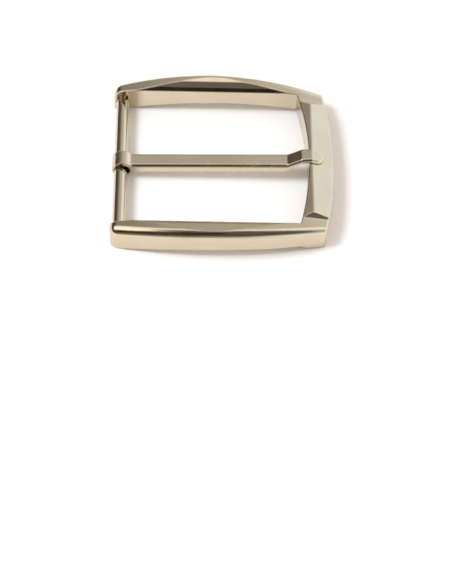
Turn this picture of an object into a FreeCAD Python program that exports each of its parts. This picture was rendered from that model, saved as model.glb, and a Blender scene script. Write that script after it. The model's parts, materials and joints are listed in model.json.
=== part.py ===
import FreeCAD, Part
import os
import re
import Sketcher

os.makedirs("parts", exist_ok=True)

# Single-prong heel-bar belt buckle for a 35 mm strap.
# +X runs from the heel bar to the front bar, +Y across the strap, +Z is up.
# The origin is the middle of the footprint, on the plane the buckle lies on.

doc = FreeCAD.newDocument("belt_buckle")

SIZES = {
    # plan of the frame
    "half_len": (25.4, "leg end to origin, and front bar's crest to origin"),
    "gap_half": (18.0, "half the opening between the legs"),
    "end_half": (20.75, "half width over the legs at their free ends"),
    "leg_arc": (115.0, "plan radius of each leg's outer side"),
    "corner_x": (23.25, "front corner, along the buckle"),
    "corner_half": (19.8, "front corner, across the buckle"),
    "kink_x": (23.95, "where the front bar's bulge starts, along"),
    "kink_half": (15.8, "where the front bar's bulge starts, across"),
    "front_arc": (86.8, "plan radius of the front bar's outer side"),
    "throat_x": (17.35, "front end of the legs' inner faces"),
    "inner_arc": (71.6, "plan radius of the front bar's inner side"),
    "stock_top": (9.5, "height of the uncut frame"),
    # crowned top of the legs
    "floor_z": (0.0, "the plane the buckle lies on"),
    "below": (1.0, "how far the belly cutter runs under it"),
    "reach": (28.0, "half length of the crown cutter"),
    "cutter_top": (12.0, "top of the cutters"),
    "crown_x": (-2.3, "highest point of the legs, along"),
    "crown_z": (8.34, "highest point of the legs"),
    "crown_arc": (122.0, "side-view radius of the legs' top"),
    "crease_half": (16.1, "crease between front bar and legs, across"),
    # inner facet of the legs
    "facet_z": (7.0, "inner top edge of the legs"),
    "facet_low": (18.85, "steep facet's outer edge, across"),
    "facet_low_z": (7.552, "steep facet's outer edge, height"),
    "facet_mid": (20.15, "middle facet's outer edge, across"),
    "facet_mid_z": (8.104, "middle facet's outer edge, height"),
    "facet_out": (27.0, "where the gentle facet's plane is left, across"),
    "facet_out_z": (9.312, "where the gentle facet's plane is left, height"),
    # front bar top
    "bevel_x": (15.0, "low end of the front bar's inner bevel, along"),
    "bevel_z": (6.01, "low end of the front bar's inner bevel"),
    "ridge_x": (20.35, "front bar's ridge, along"),
    "ridge_z": (7.15, "front bar's ridge"),
    "slope_x": (27.0, "low end of the front bar's slope, along"),
    "slope_z": (4.73, "low end of the front bar's slope"),
    "shoulder_x": (21.5, "pivot of the ridge-end bevels, along"),
    "shoulder_z": (6.0, "pivot of the ridge-end bevels"),
    "shoulder_tilt": (11.3, "degrees, ridge-end bevels' fall to the front"),
    "shoulder_run": (4.77, "plan width of the ridge-end cutter"),
    "shoulder_top": (4.0, "height of the ridge-end cutter"),
    # underside
    "foot_back": (-23.2, "front edge of the leg-end feet"),
    "foot_front": (22.6, "rear edge of the front bar's foot"),
    "belly_arc": (102.1, "side-view radius of the underside"),
    "under_tilt": (25.0, "degrees, slope of the legs' inner underside"),
    "under_back": (-22.4, "rear end of the inner underside cut"),
    "under_back_in": (-20.5, "rear end of its arch"),
    "under_back_z": (1.9, "height of that end"),
    "under_front_in": (18.0, "front end of its arch"),
    "under_front_z": (2.68, "height of that end"),
    "under_front": (20.8, "front end of the inner underside cut"),
    "under_arc": (110.0, "radius of its arch"),
    # heel bar and its sockets
    "bar_x": (-23.4, "heel bar's axis, along"),
    "bar_z": (2.65, "heel bar's axis, height"),
    "bar_r": (1.5, "heel bar's radius"),
    "socket_r": (1.53, "socket radius"),
    "socket_deep": (1.6, "socket depth"),
    "bar_half": (19.5, "half length of the heel bar"),
    "bar_nose": (0.3, "chamfer of the bar's ends"),
    "recess_r": (1.25, "half width of the relief over each socket"),
    "recess_z": (4.5, "centre of the relief's round top"),
    "recess_arc": (1.27, "radius of that top"),
    "recess_deep": (0.9, "depth of the relief"),
    # rounded edges
    "end_round": (2.2, "outer corner of the leg ends, in plan"),
    "crown_round": (2.0, "outer top edge of the legs"),
    "ridge_round": (0.5, "front bar's ridge"),
    "corner_round": (0.5, "front corners, in plan"),
    "tip_round": (1.8, "plan corners of the tip"),
    "joggle_round": (0.6, "bends of the joggle"),
    "shank_round": (0.8, "long top edges of the shank"),
    # prong
    "loop_x": (-22.9, "loop's outside, centre along"),
    "loop_z": (3.0, "loop's outside, centre height"),
    "loop_r": (2.5, "loop's outside radius"),
    "eye_x": (-23.1, "loop's eye, centre along"),
    "eye_z": (2.75, "loop's eye, centre height"),
    "eye_r": (1.88, "loop's eye radius"),
    "loop_half": (1.75, "half width of the loop"),
    "prong_half": (1.88, "half width of the shank and tip"),
    "root_x": (-21.2, "start of the shank inside the loop wall"),
    "root_top": (4.7, "shank top at its root"),
    "root_low": (2.45, "shank underside at its root"),
    "bend_x": (14.8, "foot of the joggle, top side"),
    "bend_top": (5.75, "shank top at the joggle"),
    "bend_low_x": (14.6, "foot of the joggle, underside"),
    "bend_low": (3.7, "shank underside at the joggle"),
    "rise_x": (17.9, "head of the joggle, top side"),
    "rise_top": (7.85, "top of the joggle"),
    "crest_x": (20.2, "highest point of the tip"),
    "crest_top": (8.1, "height of the tip"),
    "tip_x": (23.15, "end of the tip"),
    "tip_top": (7.12, "top of the tip's end"),
    "tip_low": (6.25, "underside of the tip's end"),
    "seat_x": (20.2, "start of the tip's seat"),
    "seat_low": (7.29, "underside of the tip at its seat"),
    "rise_low_x": (17.6, "head of the joggle, underside"),
    "rise_low": (6.66, "underside of the joggle's head"),
}

sheet = doc.addObject("Spreadsheet::Sheet", "Sizes")
for row, (alias, (number, words)) in enumerate(SIZES.items(), 1):
    sheet.set("A%d" % row, words)
    sheet.set("B%d" % row, "%g" % number)
    sheet.setAlias("B%d" % row, alias)
doc.recompute()


def sized(text):
    """A sum of cells, as (number, expression)."""
    total, terms = 0.0, ["0 mm"]
    for sign, name in re.findall(r"([+-]?)\s*([A-Za-z_]\w*)", text):
        total += (-1 if sign == "-" else 1) * SIZES[name][0]
        terms.append("%s 1 mm * Sizes.%s" % (sign or "+", name))
    return total, " ".join(terms)


def plane(body, role):
    return next(f for f in body.Origin.OriginFeatures if f.Role == role)


def sketch_on(body, name, role, offset=None):
    sk = body.newObject("Sketcher::SketchObject", name)
    sk.AttachmentSupport = [(plane(body, role), "")]
    sk.MapMode = "FlatFace"
    if offset is not None:
        sk.AttachmentOffset = offset
    return sk


def pin_point(sk, geo, pos, across, up, tag):
    """Hold one point at the given cells."""
    for kind, text, letter in (("DistanceX", across, "x"), ("DistanceY", up, "z")):
        number, expression = sized(text)
        index = sk.addConstraint(
            Sketcher.Constraint(kind, -1, 1, geo, pos, number)
        )
        sk.renameConstraint(index, tag + letter)
        sk.setExpression("Constraints." + tag + letter, expression)


def outline(sk, points, arcs=(), tag="p"):
    """A closed outline. points are (across, up) cells; arcs maps a side's index to (radius cell, side of the chord its middle lies on: +1 left, -1 right)."""
    arcs = dict(arcs)
    n = len(points)
    xy = [(sized(a)[0], sized(b)[0]) for a, b in points]
    first = sk.GeometryCount
    ends = []
    for i in range(n):
        a, b = xy[i], xy[(i + 1) % n]
        if i in arcs:
            radius, side = SIZES[arcs[i][0]][0], arcs[i][1]
            dx, dy = b[0] - a[0], b[1] - a[1]
            chord = (dx * dx + dy * dy) ** 0.5
            rise = radius - (radius * radius - chord * chord / 4) ** 0.5
            mid = (
                (a[0] + b[0]) / 2 - side * dy / chord * rise,
                (a[1] + b[1]) / 2 + side * dx / chord * rise,
            )
            arc = Part.Arc(
                FreeCAD.Vector(a[0], a[1], 0),
                FreeCAD.Vector(mid[0], mid[1], 0),
                FreeCAD.Vector(b[0], b[1], 0),
            )
            geo = sk.addGeometry(arc, False)
            start = sk.getPoint(geo, 1)
            forward = abs(start.x - a[0]) + abs(start.y - a[1]) < 1e-6
            ends.append((1, 2) if forward else (2, 1))
            index = sk.addConstraint(Sketcher.Constraint("Radius", geo, radius))
            sk.renameConstraint(index, "%sr%d" % (tag, i))
            sk.setExpression(
                "Constraints.%sr%d" % (tag, i), "1 mm * Sizes." + arcs[i][0]
            )
        else:
            geo = sk.addGeometry(
                Part.LineSegment(
                    FreeCAD.Vector(a[0], a[1], 0), FreeCAD.Vector(b[0], b[1], 0)
                ),
                False,
            )
            ends.append((1, 2))
    for i in range(n):
        j = (i + 1) % n
        sk.addConstraint(
            Sketcher.Constraint(
                "Coincident", first + i, ends[i][1], first + j, ends[j][0]
            )
        )
    for i, (across, up) in enumerate(points):
        pin_point(sk, first + i, ends[i][0], across, up, "%s%d" % (tag, i))


def ring(sk, across, up, radius, tag="c"):
    geo = sk.addGeometry(
        Part.Circle(
            FreeCAD.Vector(sized(across)[0], sized(up)[0], 0),
            FreeCAD.Vector(0, 0, 1),
            SIZES[radius][0],
        ),
        False,
    )
    index = sk.addConstraint(Sketcher.Constraint("Radius", geo, SIZES[radius][0]))
    sk.renameConstraint(index, tag + "r")
    sk.setExpression("Constraints.%sr" % tag, "1 mm * Sizes." + radius)
    pin_point(sk, geo, 3, across, up, tag)


def feature(body, kind, name, sk, through=None, both=False, flip=False):
    """A pad or pocket of a sketch. through is None for all the way, or a length's cells."""
    f = body.newObject("PartDesign::" + kind, name)
    f.Profile = sk
    if through is None:
        f.Type = "ThroughAll"
    else:
        f.Type = "Length"
        f.Length = sized(through)[0]
        f.setExpression("Length", sized(through)[1])
    if both:
        f.Midplane = True
    f.Reversed = flip
    sk.Visibility = False
    before = body_volume.get(body.Name, 0.0)
    doc.recompute()
    now = f.Shape.Volume
    if kind == "Pocket" and now > before - 1e-6:
        raise RuntimeError("%s cut nothing" % name)
    body_volume[body.Name] = now
    return f


def dressup(body, kind, name, base, edges, size):
    f = body.newObject("PartDesign::" + kind, name)
    f.Base = (base, edges)
    if kind == "Fillet":
        f.Radius = size
    else:
        f.Size = size
    doc.recompute()
    return f


def edges_where(shape, test):
    return ["Edge%d" % (i + 1) for i, e in enumerate(shape.Edges) if test(e)]


body_volume = {}

# ---- frame: one casting, two legs and the front bar -------------------------
frame = doc.addObject("PartDesign::Body", "frame")
frame.Label = "frame"

plan = sketch_on(frame, "frame_plan", "XY_Plane")
outline(
    plan,
    [
        ("-half_len", "-gap_half"),
        ("throat_x", "-gap_half"),
        ("throat_x", "gap_half"),
        ("-half_len", "gap_half"),
        ("-half_len", "end_half"),
        ("corner_x", "corner_half"),
        ("kink_x", "kink_half"),
        ("kink_x", "-kink_half"),
        ("corner_x", "-corner_half"),
        ("-half_len", "-end_half"),
    ],
    {1: ("inner_arc", -1), 4: ("leg_arc", 1), 6: ("front_arc", 1), 8: ("leg_arc", 1)},
)
feature(frame, "Pad", "frame_stock", plan, "stock_top")

# top of each leg, an arch in side view, cut outside the creases
crown = sketch_on(
    frame,
    "crown_profile",
    "XZ_Plane",
    FreeCAD.Placement(FreeCAD.Vector(0, 0, SIZES["crease_half"][0]), FreeCAD.Rotation()),
)
crown.setExpression("AttachmentOffset.Base.z", "1 mm * Sizes.crease_half")
cz, cr, cx = (SIZES[k][0] for k in ("crown_z", "crown_arc", "crown_x"))
reach, top = SIZES["reach"][0], SIZES["cutter_top"][0]
left = FreeCAD.Vector(-reach, cz - cr + (cr**2 - (-reach - cx) ** 2) ** 0.5, 0)
right = FreeCAD.Vector(reach, cz - cr + (cr**2 - (reach - cx) ** 2) ** 0.5, 0)
arc = crown.addGeometry(Part.Arc(left, FreeCAD.Vector(cx, cz, 0), right), False)
start_left = abs(crown.getPoint(arc, 1).x - left.x) < 1e-6
lo, hi = (1, 2) if start_left else (2, 1)
wall_r = crown.addGeometry(
    Part.LineSegment(right, FreeCAD.Vector(reach, top, 0)), False
)
lid = crown.addGeometry(
    Part.LineSegment(FreeCAD.Vector(reach, top, 0), FreeCAD.Vector(-reach, top, 0)),
    False,
)
wall_l = crown.addGeometry(
    Part.LineSegment(FreeCAD.Vector(-reach, top, 0), left), False
)
crown.addConstraint(Sketcher.Constraint("Coincident", arc, hi, wall_r, 1))
crown.addConstraint(Sketcher.Constraint("Coincident", wall_r, 2, lid, 1))
crown.addConstraint(Sketcher.Constraint("Coincident", lid, 2, wall_l, 1))
crown.addConstraint(Sketcher.Constraint("Coincident", wall_l, 2, arc, lo))
crown.addConstraint(Sketcher.Constraint("Vertical", wall_r))
crown.addConstraint(Sketcher.Constraint("Vertical", wall_l))
index = crown.addConstraint(Sketcher.Constraint("Radius", arc, cr))
crown.renameConstraint(index, "sweep")
crown.setExpression("Constraints.sweep", "1 mm * Sizes.crown_arc")
pin_point(crown, arc, 3, "crown_x", "crown_z - crown_arc", "mid")
pin_point(crown, lid, 1, "reach", "cutter_top", "hi")
pin_point(crown, lid, 2, "-reach", "cutter_top", "lo")
crown_cut = feature(frame, "Pocket", "crown_cut", crown, flip=True)

# inner underside of each leg slopes up towards the opening
under = sketch_on(
    frame,
    "under_profile",
    "XZ_Plane",
    FreeCAD.Placement(
        FreeCAD.Vector(0, 0, SIZES["gap_half"][0]),
        FreeCAD.Rotation(FreeCAD.Vector(1, 0, 0), SIZES["under_tilt"][0]),
    ),
)
under.setExpression("AttachmentOffset.Base.z", "1 mm * Sizes.gap_half")
under.setExpression("AttachmentOffset.Rotation.Angle", "1 deg * Sizes.under_tilt")
outline(
    under,
    [
        ("under_back", "floor_z"),
        ("under_front", "floor_z"),
        ("under_front_in", "under_front_z"),
        ("under_back_in", "under_back_z"),
    ],
    {2: ("under_arc", -1)},
)
under_cut = feature(frame, "Pocket", "under_cut", under, flip=True)

# blind socket for the heel bar in each leg, and the relief over it
socket = sketch_on(
    frame,
    "socket_profile",
    "XZ_Plane",
    FreeCAD.Placement(FreeCAD.Vector(0, 0, SIZES["gap_half"][0]), FreeCAD.Rotation()),
)
socket.setExpression("AttachmentOffset.Base.z", "1 mm * Sizes.gap_half")
ring(socket, "bar_x", "bar_z", "socket_r")
socket_cut = feature(frame, "Pocket", "socket_cut", socket, "socket_deep", flip=True)

relief = sketch_on(
    frame,
    "relief_profile",
    "XZ_Plane",
    FreeCAD.Placement(FreeCAD.Vector(0, 0, SIZES["gap_half"][0]), FreeCAD.Rotation()),
)
relief.setExpression("AttachmentOffset.Base.z", "1 mm * Sizes.gap_half")
outline(
    relief,
    [
        ("bar_x - recess_r", "bar_z"),
        ("bar_x + recess_r", "bar_z"),
        ("bar_x + recess_r", "recess_z"),
        ("bar_x - recess_r", "recess_z"),
    ],
    {2: ("recess_arc", -1)},
)
relief_cut = feature(frame, "Pocket", "relief_cut", relief, "recess_deep", flip=True)

mirror = frame.newObject("PartDesign::Mirrored", "far_side")
mirror.Originals = [crown_cut, under_cut, socket_cut, relief_cut]
mirror.MirrorPlane = (plane(frame, "XZ_Plane"), [""])
frame.Tip = mirror
doc.recompute()
if mirror.Shape.Volume > body_volume["frame"] - 1e-6:
    raise RuntimeError("the mirrored cuts removed nothing")
body_volume["frame"] = mirror.Shape.Volume

# each leg's top rolls over to the opening in three lens-shaped facets
facet = sketch_on(frame, "facet_profile", "YZ_Plane")
outline(
    facet,
    [
        ("gap_half", "facet_z"),
        ("facet_low", "facet_low_z"),
        ("facet_mid", "facet_mid_z"),
        ("facet_out", "facet_out_z"),
        ("facet_out", "cutter_top"),
        ("gap_half", "cutter_top"),
    ],
    tag="f",
)
outline(
    facet,
    [
        ("-gap_half", "facet_z"),
        ("-gap_half", "cutter_top"),
        ("-facet_out", "cutter_top"),
        ("-facet_out", "facet_out_z"),
        ("-facet_mid", "facet_mid_z"),
        ("-facet_low", "facet_low_z"),
    ],
    tag="n",
)
feature(frame, "Pocket", "facet_cut", facet, both=True)

# front bar's top: a bevel up from the opening, a ridge, and a slope to the front
front = sketch_on(frame, "front_profile", "XZ_Plane")
outline(
    front,
    [
        ("bevel_x", "bevel_z"),
        ("ridge_x", "ridge_z"),
        ("slope_x", "slope_z"),
        ("slope_x", "cutter_top"),
        ("bevel_x", "cutter_top"),
    ],
)
feature(
    frame, "Pocket", "front_cut", front, "crease_half + crease_half", both=True
)

# the ridge's ends fall to the creases
shoulder = sketch_on(
    frame,
    "shoulder_profile",
    "YZ_Plane",
    FreeCAD.Placement(
        FreeCAD.Vector(0, SIZES["shoulder_z"][0], SIZES["shoulder_x"][0]),
        FreeCAD.Rotation(FreeCAD.Vector(1, 0, 0), SIZES["shoulder_tilt"][0]),
    ),
)
shoulder.setExpression("AttachmentOffset.Base.y", "1 mm * Sizes.shoulder_z")
shoulder.setExpression("AttachmentOffset.Base.z", "1 mm * Sizes.shoulder_x")
shoulder.setExpression("AttachmentOffset.Rotation.Angle", "1 deg * Sizes.shoulder_tilt")
outline(
    shoulder,
    [
        ("crease_half", "floor_z"),
        ("crease_half", "shoulder_top"),
        ("crease_half - shoulder_run", "shoulder_top"),
    ],
    tag="f",
)
outline(
    shoulder,
    [
        ("-crease_half", "floor_z"),
        ("shoulder_run - crease_half", "shoulder_top"),
        ("-crease_half", "shoulder_top"),
    ],
    tag="n",
)
feature(frame, "Pocket", "shoulder_cut", shoulder, both=True)

# underside arches between the leg-end feet and the front bar's foot
belly = sketch_on(frame, "belly_profile", "XZ_Plane")
outline(
    belly,
    [
        ("foot_back", "floor_z"),
        ("foot_back", "-below"),
        ("foot_front", "-below"),
        ("foot_front", "floor_z"),
    ],
    {3: ("belly_arc", -1)},
)
feature(frame, "Pocket", "belly_cut", belly, both=True)

# ---- rounded edges of the casting -------------------------------------------
def near(a, b, gap=0.06):
    return abs(a - b) < gap


def middle(e):
    return e.valueAt((e.FirstParameter + e.LastParameter) / 2)


def round_edges(body, name, test, size):
    base = body.Tip
    found = edges_where(base.Shape, test)
    if not found:
        raise RuntimeError("no edges for " + name)
    f = body.newObject("PartDesign::Fillet", name)
    f.Base = (base, found)
    f.Radius = SIZES[size][0]
    f.setExpression("Radius", "1 mm * Sizes." + size)
    doc.recompute()
    if "Invalid" in f.State or not f.Shape.isValid():
        raise RuntimeError("%s failed on %s" % (name, found))
    return f


round_edges(
    frame,
    "leg_end_rounds",
    lambda e: near(middle(e).x, -SIZES["half_len"][0])
    and near(abs(middle(e).y), SIZES["end_half"][0])
    and e.BoundBox.ZLength > 3,
    "end_round",
)
round_edges(
    frame,
    "leg_crown_rounds",
    lambda e: e.BoundBox.XLength > 38 and e.BoundBox.ZMin > 5 and abs(middle(e).y) > 21,
    "crown_round",
)
round_edges(
    frame,
    "ridge_rounds",
    lambda e: e.BoundBox.YLength > 29
    and near(middle(e).x, SIZES["ridge_x"][0])
    and middle(e).z > 6,
    "ridge_round",
)
round_edges(
    frame,
    "corner_rounds",
    lambda e: near(middle(e).x, SIZES["corner_x"][0], 0.3)
    and near(abs(middle(e).y), SIZES["corner_half"][0], 0.3)
    and e.BoundBox.ZLength > 2,
    "corner_round",
)

# ---- heel bar: a plain round steel pin --------------------------------------
heel_bar = doc.addObject("PartDesign::Body", "heel_bar")
heel_bar.Label = "heel_bar"
section = sketch_on(heel_bar, "bar_section", "XZ_Plane")
ring(section, "bar_x", "bar_z", "bar_r")
bar_pad = feature(heel_bar, "Pad", "bar_round", section, "bar_half + bar_half", both=True)
noses = edges_where(bar_pad.Shape, lambda e: len(e.Vertexes) == 1 and e.BoundBox.YLength < 0.01)
nose = dressup(heel_bar, "Chamfer", "bar_noses", bar_pad, noses, SIZES["bar_nose"][0])
nose.setExpression("Size", "1 mm * Sizes.bar_nose")

# ---- prong: loop, shank, joggle and tip in one piece ------------------------
prong = doc.addObject("PartDesign::Body", "prong")
prong.Label = "prong"
loop = sketch_on(prong, "loop_profile", "XZ_Plane")
ring(loop, "loop_x", "loop_z", "loop_r")
feature(prong, "Pad", "loop", loop, "loop_half + loop_half", both=True)
blade = sketch_on(prong, "blade_profile", "XZ_Plane")
outline(
    blade,
    [
        ("root_x", "root_low"),
        ("bend_low_x", "bend_low"),
        ("rise_low_x", "rise_low"),
        ("seat_x", "seat_low"),
        ("tip_x", "tip_low"),
        ("tip_x", "tip_top"),
        ("crest_x", "crest_top"),
        ("rise_x", "rise_top"),
        ("bend_x", "bend_top"),
        ("root_x", "root_top"),
    ],
)
feature(prong, "Pad", "blade", blade, "prong_half + prong_half", both=True)
eye = sketch_on(prong, "eye_profile", "XZ_Plane")
ring(eye, "eye_x", "eye_z", "eye_r")
feature(prong, "Pocket", "eye", eye, both=True)
doc.recompute()

round_edges(
    prong,
    "tip_plan_round",
    lambda e: near(e.BoundBox.XMin, SIZES["tip_x"][0]) and e.BoundBox.YLength < 0.01,
    "tip_round",
)
round_edges(
    prong,
    "joggle_rounds",
    lambda e: e.BoundBox.YLength > 3
    and e.BoundBox.XLength < 0.01
    and middle(e).x > 14
    and middle(e).x < 21,
    "joggle_round",
)
round_edges(
    prong,
    "shank_rounds",
    lambda e: e.BoundBox.YLength < 0.01
    and e.BoundBox.XLength > 30
    and middle(e).z > 4.4,
    "shank_round",
)

nodes = [frame, heel_bar, prong]
for item in doc.Objects:
    if "Invalid" in item.State or "Error" in item.State:
        raise RuntimeError("%s: %s" % (item.Name, item.State))
for node in nodes:
    if node.Shape.isNull() or not node.Shape.isValid():
        raise RuntimeError(node.Label + " has no valid shape")
    node.Shape.exportStep("parts/%s.step" % node.Label)
    b = node.Shape.BoundBox
    print(node.Label, "solids", len(node.Shape.Solids), "faces", len(node.Shape.Faces), "volume", round(node.Shape.Volume, 2), "X", round(b.XMin, 2), round(b.XMax, 2), "Y", round(b.YMin, 2), round(b.YMax, 2), "Z", round(b.ZMin, 2), round(b.ZMax, 2))
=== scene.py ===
import json
import math

import bmesh
import bpy
from mathutils import Matrix, Vector

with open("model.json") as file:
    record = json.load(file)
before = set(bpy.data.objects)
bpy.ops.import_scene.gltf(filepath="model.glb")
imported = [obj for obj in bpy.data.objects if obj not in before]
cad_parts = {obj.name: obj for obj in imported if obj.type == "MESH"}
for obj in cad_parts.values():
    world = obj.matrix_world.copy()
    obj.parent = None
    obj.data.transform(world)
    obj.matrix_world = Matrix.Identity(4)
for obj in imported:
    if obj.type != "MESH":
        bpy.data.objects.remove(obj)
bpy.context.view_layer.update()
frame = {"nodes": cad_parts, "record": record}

MM = 0.001
scene = bpy.context.scene
record = frame["record"]


# ---------------------------------------------------------------- small helpers
def tree_of(owner):
    owner.use_nodes = True
    tree = owner.node_tree
    tree.nodes.clear()
    return tree


def add(tree, kind, **settings):
    node = tree.nodes.new(kind)
    for key, value in settings.items():
        setattr(node, key, value)
    return node


def link(tree, source, target):
    tree.links.new(source, target)


def ramp(tree, source, stops, interpolation="LINEAR"):
    node = add(tree, "ShaderNodeValToRGB")
    node.color_ramp.interpolation = interpolation
    elements = node.color_ramp.elements
    while len(elements) > 1:
        elements.remove(elements[-1])
    for i, (at, value) in enumerate(stops):
        e = elements[0] if i == 0 else elements.new(at)
        e.position = at
        e.color = (
            (value, value, value, 1) if isinstance(value, (int, float)) else (*value, 1)
        )
    link(tree, source, node.inputs["Fac"])
    return node


def math_node(tree, op, a, b=None, c=None, clamp=False):
    node = add(tree, "ShaderNodeMath", operation=op, use_clamp=clamp)
    for i, value in enumerate((a, b, c)):
        if value is None:
            continue
        if isinstance(value, (int, float)):
            node.inputs[i].default_value = value
        else:
            link(tree, value, node.inputs[i])
    return node.outputs[0]


# ---------------------------------------------------------------- plated metal
def plated(name, base, rough, seed, brush=0.0, edge=0.0002):
    """Polished warm nickel: soft tone drift, faint polishing lines, pin-prick
    specks, handling haze in patches, and edges a little brighter, partly as worn plating
    and partly as a painted highlight along the edges."""
    mat = bpy.data.materials.new(name)
    tree = tree_of(mat)
    out = add(tree, "ShaderNodeOutputMaterial")
    shader = add(tree, "ShaderNodeBsdfPrincipled")
    link(tree, shader.outputs[0], out.inputs[0])
    shader.inputs["Metallic"].default_value = 1.0
    coord = add(tree, "ShaderNodeTexCoord")
    place = add(tree, "ShaderNodeMapping")
    place.inputs["Location"].default_value = (seed * 0.37, seed * 0.61, seed * 0.83)
    link(tree, coord.outputs["Object"], place.inputs["Vector"])

    # slow drift in the plating's tone
    drift = add(tree, "ShaderNodeTexNoise")
    drift.inputs["Scale"].default_value = 90.0
    drift.inputs["Detail"].default_value = 3.0
    link(tree, place.outputs[0], drift.inputs["Vector"])
    tone = ramp(
        tree,
        drift.outputs["Fac"],
        [
            (0.30, tuple(c * f for c, f in zip(base, (0.95, 0.94, 0.91)))),
            (0.55, base),
            (0.75, tuple(min(1.0, c * f) for c, f in zip(base, (1.03, 1.04, 1.06)))),
        ],
    )

    # edges paler, partly as plating polished through and partly as a painted
    # highlight along the edges: where the softened normal parts from the true one, a real
    # edge is near
    geometry = add(tree, "ShaderNodeNewGeometry")
    wide = add(tree, "ShaderNodeBevel", samples=6)
    wide.inputs["Radius"].default_value = edge * 1.2
    part = add(tree, "ShaderNodeVectorMath", operation="DOT_PRODUCT")
    link(tree, wide.outputs[0], part.inputs[0])
    link(tree, geometry.outputs["Normal"], part.inputs[1])
    edge_wear_and_highlight = ramp(tree, part.outputs["Value"], [(0.90, 1.0), (0.995, 0.0)])
    patchy = ramp(tree, drift.outputs["Fac"], [(0.35, 0.4), (0.65, 1.0)])
    wear_and_edge_highlight = math_node(tree, "MULTIPLY", edge_wear_and_highlight.outputs["Color"], patchy.outputs["Color"])
    mix = add(tree, "ShaderNodeMix", data_type="RGBA", blend_type="MIX")
    link(tree, math_node(tree, "MULTIPLY", wear_and_edge_highlight, 0.45), mix.inputs["Factor"])
    link(tree, tone.outputs["Color"], mix.inputs["A"])
    # paler edge colour: worn plating and painted edge highlight
    mix.inputs["B"].default_value = (*[min(1.0, c * 1.12 + 0.03) for c in base], 1)
    link(tree, mix.outputs["Result"], shader.inputs["Base Color"])

    # handling haze and fine specks in the polish
    haze = add(tree, "ShaderNodeTexNoise")
    haze.inputs["Scale"].default_value = 260.0
    haze.inputs["Detail"].default_value = 5.0
    haze.inputs["Roughness"].default_value = 0.6
    link(tree, place.outputs[0], haze.inputs["Vector"])
    cloud = ramp(tree, haze.outputs["Fac"], [(0.40, 0.0), (0.72, 1.0)])
    rough_now = math_node(tree, "MULTIPLY_ADD", cloud.outputs["Color"], rough * 0.6, rough)
    link(tree, rough_now, shader.inputs["Roughness"])

    # height: polishing lines across the part, and very fine grain
    streak_place = add(tree, "ShaderNodeMapping")
    streak_place.inputs["Scale"].default_value = (1.0, 14.0, 14.0)
    link(tree, place.outputs[0], streak_place.inputs["Vector"])
    streak = add(tree, "ShaderNodeTexNoise")
    streak.inputs["Scale"].default_value = 420.0
    streak.inputs["Detail"].default_value = 4.0
    link(tree, streak_place.outputs[0], streak.inputs["Vector"])
    wave = add(tree, "ShaderNodeTexNoise")
    wave.inputs["Scale"].default_value = 210.0
    wave.inputs["Detail"].default_value = 1.0
    link(tree, place.outputs[0], wave.inputs["Vector"])
    height = math_node(
        tree,
        "MULTIPLY_ADD",
        streak.outputs["Fac"],
        0.12 + brush,
        math_node(tree, "MULTIPLY", wave.outputs["Fac"], 0.6),
    )
    bump = add(tree, "ShaderNodeBump")
    bump.inputs["Strength"].default_value = 0.16
    bump.inputs["Distance"].default_value = 0.00004
    link(tree, height, bump.inputs["Height"])
    soft = add(tree, "ShaderNodeBevel", samples=8)
    soft.inputs["Radius"].default_value = edge
    link(tree, soft.outputs[0], bump.inputs["Normal"])
    link(tree, bump.outputs[0], shader.inputs["Normal"])
    return mat


NICKEL = (0.655, 0.57, 0.425)
materials = {
    "frame": plated("plated_frame", NICKEL, 0.13, 1.0, edge=0.00055),
    "heel_bar": plated("plated_bar", NICKEL, 0.12, 2.0, brush=0.05),
    "prong": plated("plated_prong", NICKEL, 0.20, 3.0),
}


# the castings and the bar keep their own exact surfaces and take the metal
for node_name, metal in materials.items():
    mesh = frame["nodes"][node_name].data
    mesh.materials.clear()
    mesh.materials.append(metal)

# ---------------------------------------------------------------- floor
def paper_floor():
    bm = bmesh.new()
    n, half = 40, 1.6
    grid = {}
    for i in range(n + 1):
        for j in range(n + 1):
            # finer near the object, coarse far away
            x = half * math.copysign(abs(2 * i / n - 1) ** 2, 2 * i / n - 1)
            y = half * math.copysign(abs(2 * j / n - 1) ** 2, 2 * j / n - 1)
            grid[i, j] = bm.verts.new((x, y, -0.00003))
    for i in range(n):
        for j in range(n):
            bm.faces.new(
                (grid[i, j], grid[i + 1, j], grid[i + 1, j + 1], grid[i, j + 1])
            )
    mesh = bpy.data.meshes.new("paper_floor")
    bm.to_mesh(mesh)
    bm.free()
    obj = bpy.data.objects.new("paper_floor", mesh)
    scene.collection.objects.link(obj)
    mat = bpy.data.materials.new("white_paper")
    tree = tree_of(mat)
    out = add(tree, "ShaderNodeOutputMaterial")
    shader = add(tree, "ShaderNodeBsdfPrincipled")
    # the sheet is one-sided, so that the buckle's underside can be seen
    sides = add(tree, "ShaderNodeMixShader")
    link(tree, add(tree, "ShaderNodeNewGeometry").outputs["Backfacing"], sides.inputs[0])
    link(tree, shader.outputs[0], sides.inputs[1])
    link(tree, add(tree, "ShaderNodeBsdfTransparent").outputs[0], sides.inputs[2])
    link(tree, sides.outputs[0], out.inputs[0])
    coord = add(tree, "ShaderNodeTexCoord")
    grain = add(tree, "ShaderNodeTexNoise")
    grain.inputs["Scale"].default_value = 900.0
    grain.inputs["Detail"].default_value = 6.0
    link(tree, coord.outputs["Object"], grain.inputs["Vector"])
    tone = ramp(
        tree,
        grain.outputs["Fac"],
        [(0.3, (0.885, 0.872, 0.855)), (0.7, (0.905, 0.895, 0.88))],
    )
    link(tree, tone.outputs["Color"], shader.inputs["Base Color"])
    shader.inputs["Roughness"].default_value = 0.85
    shader.inputs["Specular IOR Level"].default_value = 0.1
    bump = add(tree, "ShaderNodeBump")
    bump.inputs["Strength"].default_value = 0.1
    bump.inputs["Distance"].default_value = 0.0001
    link(tree, grain.outputs["Fac"], bump.inputs["Height"])
    link(tree, bump.outputs[0], shader.inputs["Normal"])
    mesh.materials.append(mat)


paper_floor()

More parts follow.
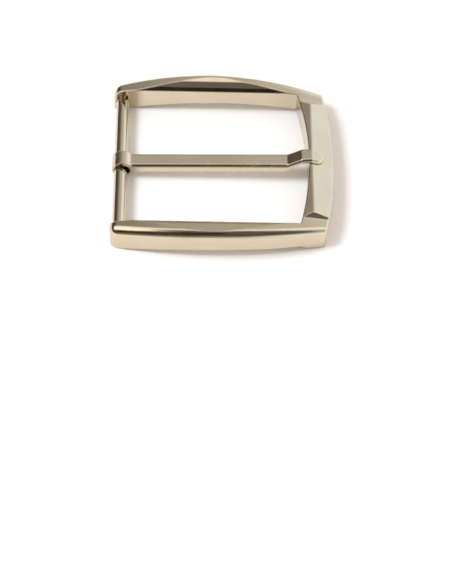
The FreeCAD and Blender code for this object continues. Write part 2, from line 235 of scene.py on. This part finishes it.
# ---------------------------------------------------------------- studio
def lamp(name, at, aim, size, power, colour=(1, 1, 1), shape="RECTANGLE"):
    data = bpy.data.lights.new(name, "AREA")
    data.shape = shape
    data.size, data.size_y = size
    data.energy = power
    data.color = colour
    obj = bpy.data.objects.new(name, data)
    scene.collection.objects.link(obj)
    at, aim = Vector(at), Vector(aim)
    obj.location = at
    obj.rotation_euler = (aim - at).to_track_quat("-Z", "Y").to_euler()
    return obj


key = lamp("key", (-0.55, -0.05, 0.75), (0, 0, 0), (0.34, 0.34), 6.0, (0.95, 1.01, 1.10))
key.visible_camera = False
key.visible_glossy = False

# The room as the metal sees it: pale window side at +X, dim side at -X, grey
# ceiling behind, dark where the observer stands, pale floor below.
world = bpy.data.worlds.new("studio_room")
scene.world = world
tree = tree_of(world)
out = add(tree, "ShaderNodeOutputWorld")
coord = add(tree, "ShaderNodeTexCoord")
split = add(tree, "ShaderNodeSeparateXYZ")
link(tree, coord.outputs["Generated"], split.inputs[0])
dx, dy, dz = split.outputs[0], split.outputs[1], split.outputs[2]

half_x = math_node(tree, "MULTIPLY_ADD", dx, 0.5, 0.5)
side = ramp(
    tree,
    half_x,
    [
        (0.0, (0.075, 0.055, 0.055)),
        (0.22, (0.12, 0.095, 0.085)),
        (0.34, (0.32, 0.30, 0.27)),
        (0.46, (0.52, 0.50, 0.47)),
        (0.56, (0.60, 0.59, 0.57)),
        (0.72, (1.15, 1.24, 1.40)),
        (1.0, (1.22, 1.35, 1.46)),
    ],
    "EASE",
)
# pale panel overhead, dim ceiling and back wall beyond it
ceiling = ramp(
    tree,
    half_x,
    [
        (0.0, (0.10, 0.085, 0.08)),
        (0.25, (0.17, 0.15, 0.14)),
        (0.37, (0.36, 0.34, 0.32)),
        (0.47, (0.58, 0.56, 0.54)),
        (0.60, (0.70, 0.69, 0.68)),
        (1.0, (1.05, 1.12, 1.22)),
    ],
    "EASE",
)
up = ramp(tree, dz, [(0.45, 0.0), (0.80, 1.0)], "EASE")
room = add(tree, "ShaderNodeMix", data_type="RGBA")
link(tree, up.outputs["Color"], room.inputs["Factor"])
link(tree, side.outputs["Color"], room.inputs["A"])
link(tree, ceiling.outputs["Color"], room.inputs["B"])

# soft panel straight above: bright where the direction is near vertical
panel = ramp(
    tree,
    math_node(tree, "ABSOLUTE", math_node(tree, "SUBTRACT", dy, 0.08)),
    [(0.0, 1.0), (0.24, 1.0), (0.40, 0.0)],
    "EASE",
)
panel_side = ramp(tree, half_x, [(0.12, 0.0), (0.28, 1.0)], "EASE")
lit = math_node(
    tree,
    "MULTIPLY",
    math_node(tree, "MULTIPLY", panel.outputs["Color"], panel_side.outputs["Color"]),
    ramp(tree, dz, [(0.55, 0.0), (0.80, 1.0)], "EASE").outputs["Color"],
)
overhead = add(tree, "ShaderNodeMix", data_type="RGBA")
link(tree, lit, overhead.inputs["Factor"])
link(tree, room.outputs["Result"], overhead.inputs["A"])
overhead.inputs["B"].default_value = (1.32, 1.30, 1.24, 1)

# the observer's dark shape, seen only in surfaces that face the viewpoint
toward = Vector((-0.03, -0.51, 0.86)).normalized()
dot = add(tree, "ShaderNodeVectorMath", operation="DOT_PRODUCT")
link(tree, coord.outputs["Generated"], dot.inputs[0])
dot.inputs[1].default_value = toward
shape = ramp(
    tree,
    dot.outputs["Value"],
    [(0.72, 0.0), (0.82, 0.86), (0.925, 0.90), (0.95, 0.80), (0.968, 0.80), (0.988, 1.0)],
    "LINEAR",
)
observed = add(tree, "ShaderNodeMix", data_type="RGBA")
link(tree, shape.outputs["Color"], observed.inputs["Factor"])
link(tree, overhead.outputs["Result"], observed.inputs["A"])
observed.inputs["B"].default_value = (0.016, 0.008, 0.004, 1)

# the soft lamp's own reflection, kept gentle so that it draws a streak
lamp_way = Vector((-0.59, -0.06, 0.81)).normalized()
lamp_dot = add(tree, "ShaderNodeVectorMath", operation="DOT_PRODUCT")
link(tree, coord.outputs["Generated"], lamp_dot.inputs[0])
lamp_dot.inputs[1].default_value = lamp_way
glow = ramp(tree, lamp_dot.outputs["Value"], [(0.90, 0.0), (0.955, 1.0)], "EASE")
glowing = add(tree, "ShaderNodeMix", data_type="RGBA")
link(tree, glow.outputs["Color"], glowing.inputs["Factor"])
link(tree, observed.outputs["Result"], glowing.inputs["A"])
glowing.inputs["B"].default_value = (1.75, 1.68, 1.60, 1)

paths = add(tree, "ShaderNodeLightPath")
mirror = add(tree, "ShaderNodeBackground")
link(tree, glowing.outputs["Result"], mirror.inputs["Color"])
plain = add(tree, "ShaderNodeBackground")
plain.inputs["Color"].default_value = (1.0, 0.915, 0.85, 1)
plain.inputs["Strength"].default_value = 0.87
seen = add(tree, "ShaderNodeBackground")
seen.inputs["Color"].default_value = (1, 1, 1, 1)
seen.inputs["Strength"].default_value = 1.0
choose = add(tree, "ShaderNodeMixShader")
link(tree, paths.outputs["Is Glossy Ray"], choose.inputs[0])
link(tree, plain.outputs[0], choose.inputs[1])
link(tree, mirror.outputs[0], choose.inputs[2])
final = add(tree, "ShaderNodeMixShader")
link(tree, paths.outputs["Is Camera Ray"], final.inputs[0])
link(tree, choose.outputs[0], final.inputs[1])
link(tree, seen.outputs[0], final.inputs[2])
link(tree, final.outputs[0], out.inputs[0])

scene.view_settings.view_transform = "Standard"
scene.view_settings.look = "None"
scene.view_settings.exposure = 0.0
scene.view_settings.gamma = 1.0

# ---------------------------------------------------------------- camera
# Front view from above: 59 degrees of elevation, a narrow lens.
cam_data = bpy.data.cameras.new("view_camera")
cam = bpy.data.objects.new("view_camera", cam_data)
scene.collection.objects.link(cam)
azimuth, elevation, roll = (math.radians(a) for a in (3.5307, 59.3414, 3.9951))
forward = Vector(
    (
        math.sin(azimuth) * math.cos(elevation),
        math.cos(azimuth) * math.cos(elevation),
        -math.sin(elevation),
    )
)
right = Vector((math.cos(azimuth), -math.sin(azimuth), 0.0))
upward = right.cross(forward)
r = math.cos(roll) * right + math.sin(roll) * upward
u = -math.sin(roll) * right + math.cos(roll) * upward
cam.matrix_world = Matrix(
    (
        (r.x, u.x, -forward.x, -10.86 * MM),
        (r.y, u.y, -forward.y, -221.79 * MM),
        (r.z, u.z, -forward.z, 320.66 * MM),
        (0, 0, 0, 1),
    )
)
cam_data.sensor_fit = "AUTO"
cam_data.sensor_width = 36.0
cam_data.lens = 1677.75 / 584.0 * 36.0
cam_data.clip_start, cam_data.clip_end = 0.01, 10.0
scene.camera = cam

bpy.context.view_layer.update()
